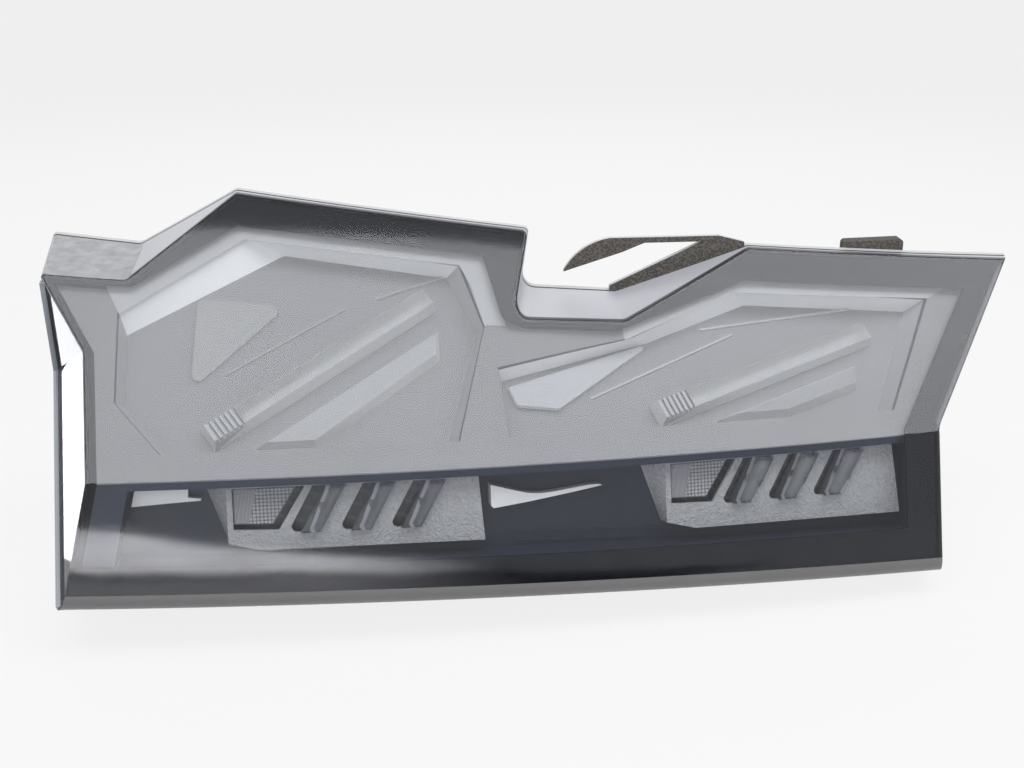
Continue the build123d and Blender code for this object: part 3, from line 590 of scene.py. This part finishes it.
def leather_grain():
    """Grey panel with a coarse leather grain."""
    material, tree = start("fascia_grain")
    where = object_place(tree)
    wander = noise(tree, where, scale=500.0, detail=1.0)
    cells = add(tree, "TexVoronoi", {"Vector": where, "Scale": 1100.0}, feature="SMOOTH_F1")
    height = maths(tree, "ADD", cells.outputs["Distance"], wander)
    inputs = {
        "Base Color": blend_colours(tree, wander, (0.27, 0.275, 0.29), (0.42, 0.425, 0.44)),
        "Roughness": between(tree, wander, 0.42, 0.6),
        "Normal": bump(tree, height, strength=0.9, depth=0.0007),
    }
    return principled(material, inputs)


def line_grain(name, dark, light):
    """Satin surface with fine parallel lines."""
    material, tree = start(name)
    where = object_place(tree, turn=WEDGE_TURN)
    inputs = {"Vector": where, "Scale": WAVE_LENGTH / WEDGE_PITCH, "Distortion": 0.3}
    lines = add(tree, "TexWave", inputs).outputs["Fac"]
    inputs = {
        "Base Color": blend_colours(tree, lines, dark, light),
        "Roughness": between(tree, lines, 0.3, 0.5),
        "Normal": bump(tree, lines, strength=0.4, depth=0.0003),
    }
    return principled(material, inputs)


def circuit_board():
    """Black board with paler tracks."""
    material, tree = start("board")
    where = object_place(tree)
    inputs = {
        "Vector": where,
        "Scale": 160.0,
        "Mortar Size": 0.03,
        "Color1": rgba((0.014, 0.016, 0.02)),
        "Color2": rgba((0.02, 0.022, 0.027)),
        "Mortar": rgba((0.045, 0.05, 0.058)),
    }
    bricks = add(tree, "TexBrick", inputs)
    relief = noise(tree, where, scale=900.0)
    inputs = {
        "Base Color": bricks.outputs["Color"],
        "Roughness": between(tree, relief, 0.3, 0.45),
        "Normal": bump(tree, bricks.outputs["Fac"], strength=0.2, depth=0.0001),
    }
    return principled(material, inputs)


def plated(name, dark, light, roughness, pitch=None):
    """Plated metal, with thread lines along Y where a pitch is given."""
    material, tree = start(name)
    where = object_place(tree)
    cloud = noise(tree, where, scale=350.0)
    inputs = {
        "Base Color": blend_colours(tree, cloud, dark, light),
        "Roughness": between(tree, cloud, roughness - PLATED_SPREAD, roughness + PLATED_SPREAD),
        "Metallic": 1.0,
    }
    if pitch:
        waves = {"Vector": where, "Scale": WAVE_LENGTH / pitch, "Distortion": 0.0}
        thread = add(tree, "TexWave", waves, bands_direction="Y").outputs["Fac"]
        inputs["Normal"] = bump(tree, thread, strength=0.6, depth=0.0006)
    return principled(material, inputs)


def dress(name, *materials):
    """Give a CAD node its materials, the first of them all over."""
    mesh = nodes[name].data
    mesh.materials.clear()
    for material in materials:
        mesh.materials.append(material)
    for face in mesh.polygons:
        face.material_index = 0


def repaint(name, index, test):
    """Give the faces of a node that pass the test another of its materials."""
    for face in nodes[name].data.polygons:
        if test(face):
            face.material_index = index


def largest_face(name, test):
    """The largest face of a node that passes the test."""
    return max(filter(test, nodes[name].data.polygons), key=lambda face: face.area)


def front_face(name):
    """The largest face of a node that looks forward and up."""
    return largest_face(name, lambda face: face.normal.y < -FRONT_LEAN and face.normal.z > FRONT_LEAN)


def dress_tray(name, floor, band, top, pad):
    """Floor colour on what faces the lens squarely, and paler ones on the slopes and on what stands up:
    painted light on the side slopes, painted highlights along the step edges, and painted light over the
    shade on walls and down-facing slopes.
    """
    dress(name, floor, band, top, pad)
    level = front_face(name)
    ahead = level.normal.copy()
    ground = level.center.dot(ahead)
    up = (UP - ahead * UP.dot(ahead)).normalized()
    right = up.cross(ahead)
    for face in nodes[name].data.polygons:
        along = face.normal.dot(ahead)
        rise = face.center.dot(ahead) - ground
        sloping = SLOPE[0] < along < SLOPE[1]
        if along > SQUARE and PAD_RISE[0] < rise < PAD_RISE[1]:
            face.material_index = TRAY_PAD
        # Upright walls: painted highlights along the step edges, and painted light over their shade
        elif abs(along) < SLOPE[0] and rise > 0:
            face.material_index = TRAY_PAINTED_LIGHT
        # Side slopes and down-facing slopes: painted light
        elif sloping and abs(face.normal.dot(right)) > SLOPE_ASIDE:
            face.material_index = TRAY_BAND
        elif sloping and face.normal.dot(up) < -SLOPE_DOWN:
            face.material_index = TRAY_PAINTED_LIGHT


def lens_part(normal, middle):
    """Which of the lens's materials a face takes."""
    forward = normal.y < 0
    upper = middle.z > CREASE_Z
    left = middle.x < SIDE_END
    match = max(normal.dot(side) for side in SIDE_NORMALS)
    if forward and middle.x < BEAD_END and normal.x > BEAD_INWARD and normal.z < BEAD_UP:
        return BEAD
    # Lower edge of the clear lens takes the lip: a painted reflection of the floor
    low = middle.z < LIP_TOP and normal.z < LIP_UP
    if forward and low and normal.x > -LIP_OUTWARD and match < LIP_MATCH:
        return LIP
    if abs(normal.y) < WALL_FORWARD:
        if middle.x < LEDGE_END and normal.z > LEDGE_UP:
            return LEDGE
        # Lower walls take the lip's painted reflection of the floor; upper and left walls take the skirt's
        # painted sheen
        return SKIRT if upper or left else LIP
    # Rounded top edge: the rim's painted dark reflection
    if forward and upper and normal.y > -RIM_FORWARD and (not left or normal.z > RIM_UP):
        return RIM
    if forward and left and normal.x < -BEAD_OUTWARD and match < SIDE_MATCH:
        return BEAD
    return FRONT


def dress_lens(*materials):
    """Clear front, and the materials of the walls and edges round it, with painted reflections on the skirt,
    the rim and the lip.
    """
    dress("outer_lens", *materials)
    for face in nodes["outer_lens"].data.polygons:
        face.material_index = lens_part(face.normal, face.center)


def dress_guide(name, clear, back, *others):
    """Clear guide with an opaque back, which is its largest face away from the lens."""
    dress(name, clear, back, *others)
    rear = largest_face(name, lambda face: face.normal.y > REAR).normal.copy()
    repaint(name, 1, lambda face: face.normal.dot(rear) > SQUARE)


def dress_bar(name, clear, back, rib, sides):
    """Clear bar with an opaque back, ribs painted bright as painted highlights, and sides painted pale as
    painted light over their shade.
    """
    dress_guide(name, clear, back, rib, sides)
    ahead = front_face(name).normal.copy()
    # Sides painted pale: painted light over their shade
    repaint(name, 3, lambda face: face.normal.y < 0 and face.normal.dot(ahead) < BAR_SIDE)
    # Ribs painted with the pale band grey: painted highlights on the clear ribs
    repaint(name, 2, lambda face: face.area < RIB_FACE)


def dress_wedge(name, top, sides):
    """Grained top, and sides painted pale as painted light over their shade."""
    dress(name, top, sides)
    ahead = front_face(name).normal.copy()
    # Sides painted pale: painted light over their shade
    repaint(name, 1, lambda face: face.normal.dot(ahead) < SLOPE[1])


def dress_diodes(name, body, window):
    """Diodes with a grey window where they meet the guides."""
    dress(name, body, window)
    repaint(name, 1, lambda face: face.normal.y < -DIODE_FRONT)


def dress_bezel(black, grey):
    """Grey behind the upper facet, black elsewhere."""
    dress("inner_bezel", black, grey)
    repaint("inner_bezel", 1, lambda face: face.normal.y < -FRONT_LEAN and face.normal.z > BEZEL_UP)


def add_piece(name, shape, material):
    """A piece of that shape and material, which rides on the lamp's body."""
    bmesh.ops.recalc_face_normals(shape, faces=shape.faces)
    mesh = bpy.data.meshes.new(name)
    shape.to_mesh(mesh)
    shape.free()
    mesh.materials.append(material)
    piece = bpy.data.objects.new(name, mesh)
    bpy.context.scene.collection.objects.link(piece)
    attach(piece, "root")
    return piece


def relief_at(along, rightward, upward):
    """Height of a prism's optics, at a share of its width and a place from its top left corner."""
    if along < RIB_SHARE:
        return RIB_RISE * abs(math.sin(math.pi * rightward / RIB_PITCH))
    crest = math.sin(math.pi * rightward / PILLOW_PITCH)
    fall = math.sin(math.pi * upward / PILLOW_PITCH)
    return PILLOW_RISE * math.sqrt(abs(crest * fall))


def prism_corners(name):
    """Front corners of a prism, top left first and clockwise, and its directions outward, right and up."""
    mesh = nodes[name].data
    normal = max(mesh.polygons, key=lambda face: face.area * max(0.0, -face.normal.y)).normal.copy()
    reach = max(vertex.co.dot(normal) for vertex in mesh.vertices) - PRISM_FLATNESS
    front = [vertex.co.copy() for vertex in mesh.vertices if vertex.co.dot(normal) > reach]
    right = UP.cross(normal).normalized()
    up = normal.cross(right).normalized()

    def furthest(sign_right, sign_up):
        return max(front, key=lambda point: sign_right * point.dot(right) + sign_up * point.dot(up))

    corners = [furthest(-1, 1), furthest(1, 1), furthest(1, -1), furthest(-1, -1)]
    return corners, normal, right, up


def prism_piece(side, material):
    """Prism with its ribs and pillows as real relief, in the place of the plain node."""
    name = "prism_" + side
    corners, normal, right, up = prism_corners(name)
    top_left, top_right, bottom_right, bottom_left = corners
    shape = bmesh.new()
    share = shape.verts.layers.float.new("relief")
    grid = []
    for row in range(PRISM_ROWS + 1):
        down = row / PRISM_ROWS
        line = []
        for column in range(PRISM_COLUMNS + 1):
            along = column / PRISM_COLUMNS
            top = top_left.lerp(top_right, along)
            bottom = bottom_left.lerp(bottom_right, along)
            flat = top.lerp(bottom, down)
            step = flat - top_left
            edge = min(along, 1 - along, down, 1 - down) * EDGE_STEEPNESS
            rise = relief_at(along, step.dot(right), step.dot(up)) * min(1.0, edge)
            corner = shape.verts.new(flat + normal * (rise - PILLOW_RISE))
            # Share of the relief, which the prism's material turns into painted shade in the grooves and
            # painted highlights on the crowns
            corner[share] = rise / (RIB_RISE if along < RIB_SHARE else PILLOW_RISE)
            line.append(corner)
        grid.append(line)
    for upper, lower in zip(grid, grid[1:]):
        for column in range(PRISM_COLUMNS):
            after = column + 1
            shape.faces.new((upper[column], lower[column], lower[after], upper[after]))
    right_edge = [line[-1] for line in grid[1:]]
    bottom_edge = grid[-1][-2::-1]
    left_edge = [line[0] for line in grid[-2:0:-1]]
    rim = grid[0] + right_edge + bottom_edge + left_edge
    back = [shape.verts.new(vertex.co - normal * PRISM_BACK) for vertex in rim]
    for index in range(len(rim)):
        after = (index + 1) % len(rim)
        shape.faces.new((rim[index], rim[after], back[after], back[index]))
    shape.faces.new(back)
    piece = add_piece("prism_optics_" + side, shape, material)
    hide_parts(name)


def on_front(x, z, inset):
    """Point behind the wrapped upper facet at x and z."""
    radius = WRAP_RADIUS - (z - CREASE_Z) * math.tan(UPPER_TILT) - inset / math.cos(UPPER_TILT)
    run = x - WRAP_CENTRE[0]
    return Vector((x, WRAP_CENTRE[1] - math.sqrt(radius * radius - run * run), z))


def band_piece(side, material):
    """Pale band that fills the space between the border and a tray's upper edges."""
    outer, inner = BANDS[side]
    rows = []
    for index in range(len(outer) - 1):
        last = index == len(outer) - 2
        for step in range(BAND_STEPS + last):
            share = step / BAND_STEPS
            rows.append([Vector(line[index]).lerp(Vector(line[index + 1]), share) for line in (outer, inner)])
    shape = bmesh.new()
    sheets = []
    for inset in (BAND_INSET, BAND_INSET + BAND_THICKNESS):
        sheets.append([[shape.verts.new(on_front(*point, inset)) for point in pair] for pair in rows])
    front, back = sheets
    for a, b, c, d in zip(front, front[1:], back, back[1:]):
        shape.faces.new((a[0], a[1], b[1], b[0]))
        shape.faces.new((c[0], d[0], d[1], c[1]))
        shape.faces.new((a[0], b[0], d[0], c[0]))
        shape.faces.new((a[1], c[1], d[1], b[1]))
    for ahead, behind in ((front[0], back[0]), (front[-1], back[-1])):
        shape.faces.new((ahead[0], ahead[1], behind[1], behind[0]))
    piece = add_piece("tray_band_" + side, shape, material)


def soft_box(name, place, aim, size, radiance, gloss_only=False):
    """Rectangular studio light of that radiance, turned to what it aims at."""
    light = bpy.data.lights.new(name, "AREA")
    light.shape = "RECTANGLE"
    light.size, light.size_y = size
    light.energy = radiance * math.pi * size[0] * size[1]
    lamp = bpy.data.objects.new(name, light)
    bpy.context.scene.collection.objects.link(lamp)
    lamp.location = place
    lamp.rotation_euler = (Vector(aim) - Vector(place)).to_track_quat("-Z", "Y").to_euler()
    lamp.visible_diffuse = not gloss_only


def seen_directly(tree):
    """1 for rays from the camera, mirrors and clear bodies, which see the backdrop as it is painted."""
    path = add(tree, "LightPath").outputs
    both = maths(tree, "ADD", path["Is Camera Ray"], path["Is Glossy Ray"])
    return maths(tree, "ADD", both, path["Is Transmission Ray"], use_clamp=True)


def paint_world():
    """Pale all round where it is seen, and a plain even light elsewhere."""
    world = bpy.data.worlds.new("studio")
    bpy.context.scene.world = world
    world.use_nodes = True
    tree = world.node_tree
    tree.nodes.clear()
    even = add(tree, "Background", {"Color": rgba((1, 1, 1)), "Strength": AMBIENT})
    pale = add(tree, "Background", {"Color": rgba(PALE), "Strength": 1.0})
    seen = mixed(tree, seen_directly(tree), even, pale)
    add(tree, "OutputWorld", {"Surface": seen.outputs[0]})


def floor_material():
    """Pale floor: a painted level, and a matte part near the lamp that takes its shadow."""
    material, tree = start("floor")
    where = add(tree, "TexCoord").outputs["Object"]
    distance = add(tree, "VectorMath", {0: where}, operation="LENGTH").outputs["Value"]
    away = smooth_step(tree, distance, *FLOOR_FADE)
    matte = add(tree, "BsdfDiffuse", {"Color": blend_colours(tree, away, FLOOR_MATTE, FLOOR_MATTE_FAR)})
    level = between(tree, away, *FLOOR_GLOW)
    glow = add(tree, "Emission", {"Color": rgba(FLOOR_TINT), "Strength": level})
    both = add(tree, "AddShader", {0: matte.outputs[0], 1: glow.outputs[0]})
    plain = add(tree, "BsdfDiffuse", {"Color": rgba(PALE)})
    return surfaced(material, mixed(tree, seen_directly(tree), plain, both))


def card_material(name, levels):
    """Uneven glow of a card that the lower facet mirrors."""
    material, tree = start(name)
    where = object_place(tree, stretch=(0.12, 1, 1), turn=(0, 0.09, 0))
    level = between(tree, noise(tree, where, scale=90.0), *levels)
    along = add(tree, "SeparateXYZ", {0: add(tree, "TexCoord").outputs["Object"]}).outputs["X"]
    first, last = CARD_FADE
    inputs = {"Value": along, "From Min": first, "From Max": last, "To Min": 1.0, "To Max": 0.0}
    fade = add(tree, "MapRange", inputs).outputs["Result"]
    strength = maths(tree, "MULTIPLY", level, fade)
    return surfaced(material, add(tree, "Emission", {"Color": rgba(CARD_TINT), "Strength": strength}))


def stage_sheet(name, corners, material):
    """Flat sheet that belongs to the studio."""
    mesh = bpy.data.meshes.new(name)
    mesh.from_pydata(corners, [], [tuple(range(len(corners)))])
    sheet = bpy.data.objects.new(name, mesh)
    bpy.context.scene.collection.objects.link(sheet)
    mesh.materials.append(material)
    return sheet


def build_studio():
    """Floor, cards, soft boxes and world."""
    ground = cad_box[0].z - FLOOR_DROP
    corners = ((-1, -1), (1, -1), (1, 1), (-1, 1))
    square = [(x * FLOOR_HALF, y * FLOOR_HALF, ground) for x, y in corners]
    stage_sheet("floor", square, floor_material())
    sweep = [(x, SWEEP_Y, z) for x, z in SWEEP_CARD]
    apron = [(x, y, ground + APRON_LIFT) for x, y in APRON_CARD]
    cards = (
        stage_sheet("sweep", sweep, card_material("sweep", SWEEP_GLOW)),
        stage_sheet("apron", apron, card_material("apron", APRON_GLOW)),
    )
    for card in cards:
        card.visible_camera = False
        card.visible_diffuse = False
        card.visible_shadow = False
    for name, box in SOFT_BOXES.items():
        soft_box(name, **box)
    paint_world()


def set_camera():
    """Camera at the photograph's angle."""
    data = bpy.data.cameras.new("camera")
    data.sensor_width = SENSOR
    data.lens = CAMERA_LENS
    camera = bpy.data.objects.new("camera", data)
    bpy.context.scene.collection.objects.link(camera)
    level = math.cos(CAMERA_ELEVATION)
    aside = math.sin(CAMERA_AZIMUTH) * level
    ahead = math.cos(CAMERA_AZIMUTH) * level
    away = Vector((aside, -ahead, math.sin(CAMERA_ELEVATION)))
    camera.location = CAMERA_TARGET + away * CAMERA_DISTANCE
    camera.rotation_euler = (-away).to_track_quat("-Z", "Y").to_euler()
    bpy.context.scene.camera = camera


def dress_modules(looks, board):
    """Materials of what the left and the right module have alike, and the pale bands over their trays."""
    bar = light_guide("light_bar", **GUIDES["light_bar"])
    guide = light_guide("light_guide", **GUIDES["light_guide"])
    crystal = crystal_back()
    panel = leather_grain()
    band = looks["tray_band"]
    painted_light_sides = looks["painted_light_sides"]
    for side in SIDES:
        dress_tray("upper_tray_" + side, looks["tray_floor"], band, looks["tray_painted_light"], looks["pad_" + side])
        dress_bar("light_bar_" + side, bar, looks["bar_back"], band, painted_light_sides)
        dress_wedge("wedge_" + side, line_grain("wedge_" + side, **WEDGES[side]), painted_light_sides)
        band_piece(side, band)
        dress("fascia_" + side, panel)
        dress("fin_" + side, looks["fin"])
        dress("bar_board_" + side, board)
        dress("claw_board_" + side, board)
        for number in (1, 2, 3):
            dress_guide(f"claw_{side}_{number}", guide, crystal)


def dress_nodes():
    """Materials of all the solids but the prisms."""
    looks = {name: moulded(name, **look) for name, look in MOULDED.items()}
    metals = {name: plated(name, **look) for name, look in PLATED.items()}
    board = circuit_board()
    cell_foam = foam()
    dress_lens(clear_lens(), skirt_painted_sheen(), looks["ledge"], looks["rim"], looks["lip"], looks["bead"])
    dress_bezel(looks["black_mask"], looks["grey_mask"])
    dress_modules(looks, board)
    for name in ("bar_leds", "claw_leds"):
        dress_diodes(name, looks["diode"], looks["diode_window"])
    for name in ("notch_foam", "edge_foam", "body_gasket"):
        dress(name, cell_foam)
    dress("lens_frame", looks["black_border"])
    dress("lower_tray", looks["black_mask"])
    dress("rear_housing", looks["housing"])
    dress("lens_seal", looks["seal"])
    dress("driver_board", board)
    dress("driver_screws", metals["screw"])
    dress("body_studs", metals["stud"])
    dress("connector_socket", looks["socket"])
    dress("connector_terminals", metals["terminal"])
    dress("vent_cap", looks["vent"])


dress_nodes()
prism_look = prism_optics()
for module in SIDES:
    prism_piece(module, prism_look)
    dress("prism_" + module, prism_look)
build_studio()
set_camera()
bpy.context.scene.view_settings.view_transform = "Standard"
